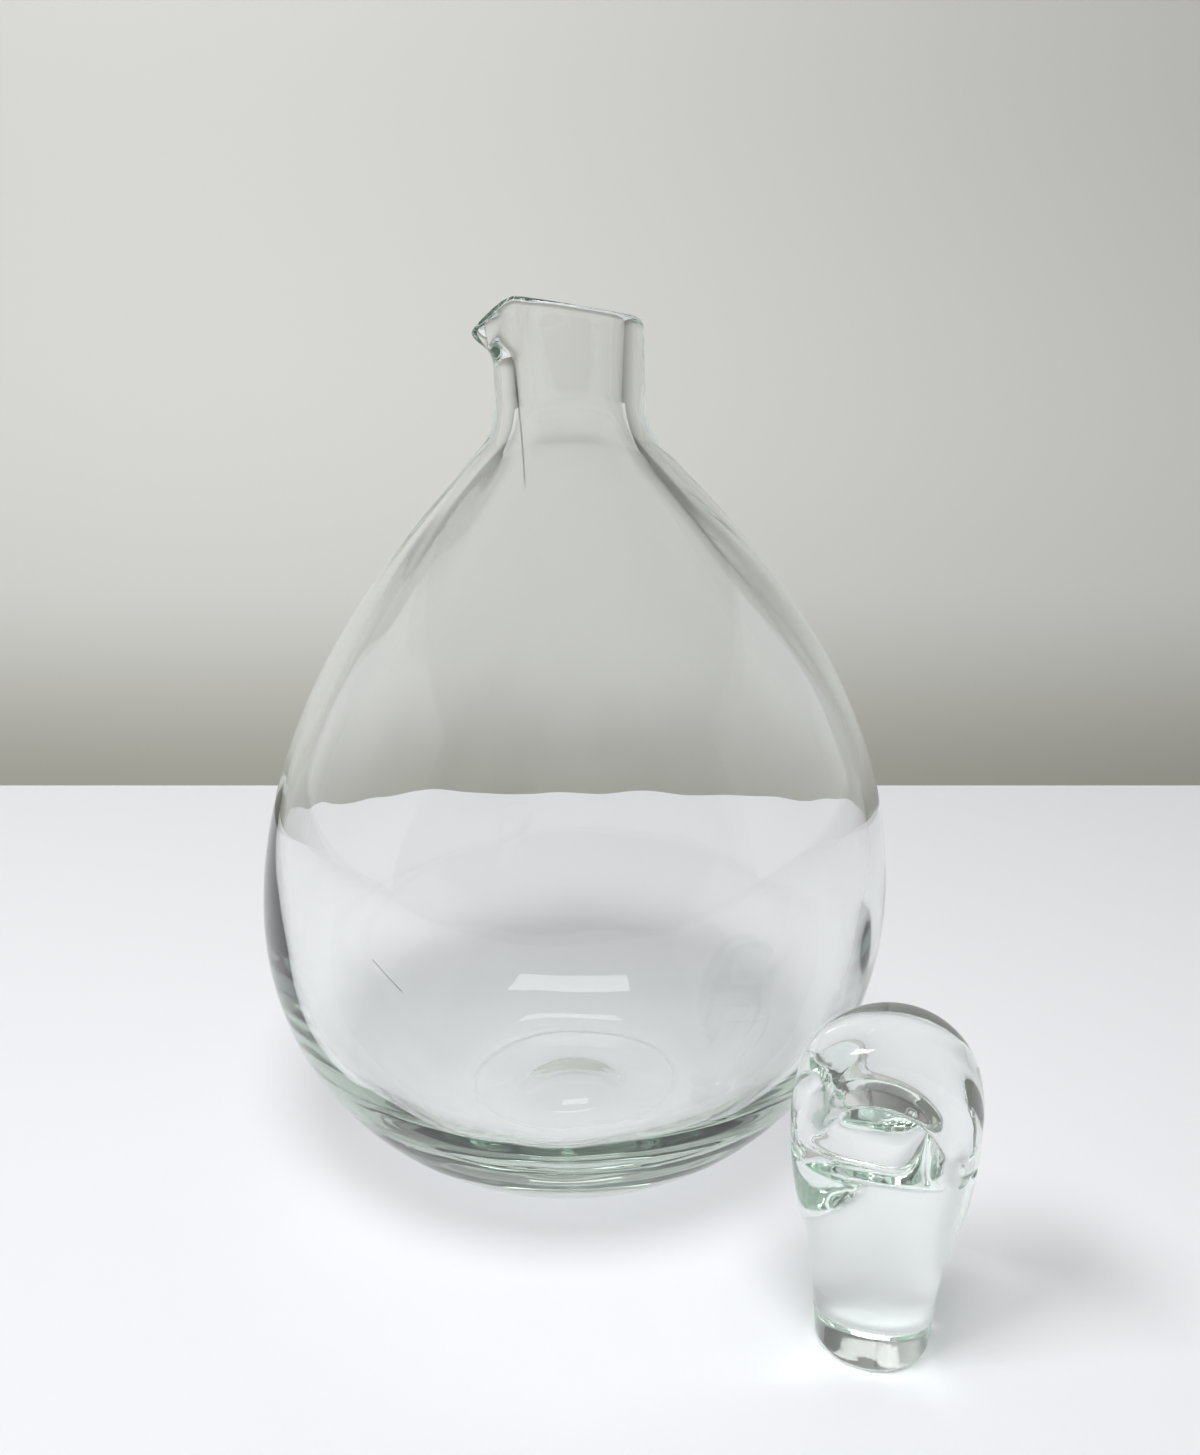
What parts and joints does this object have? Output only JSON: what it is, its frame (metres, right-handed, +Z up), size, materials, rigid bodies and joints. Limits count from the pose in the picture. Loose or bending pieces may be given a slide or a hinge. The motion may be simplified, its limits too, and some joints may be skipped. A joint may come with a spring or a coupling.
{
  "type": "decanter",
  "caption": "Clear blown glass decanter with a round belly, a narrow neck with a pulled pouring lip, and a solid curled glass stopper standing beside it.",
  "frame": {"origin": "middle of the footprint of the vessel and the standing stopper, on the plane that they stand on", "axes": "+Z up along the neck, -X towards the pouring lip, the stopper stands towards +X and -Y"},
  "size_m": [0.1538, 0.1678, 0.2016],
  "materials": {
    "vessel_glass": "clear, glossy, fire-polished, with a faint green tint in the thick edges",
    "stopper_glass": "clear, glossy, solid, with a faint green tint in the folds"
  },
  "bodies": {
    "vessel": {"vessel": "vessel_glass"},
    "stopper": {"stopper": "stopper_glass"}
  },
  "joints": [
    {"name": "stopper_lift", "type": "slide", "parent": "vessel", "child": "stopper", "axis": [0, 0, 1], "range_m": [0, 0.21]}
  ]
}
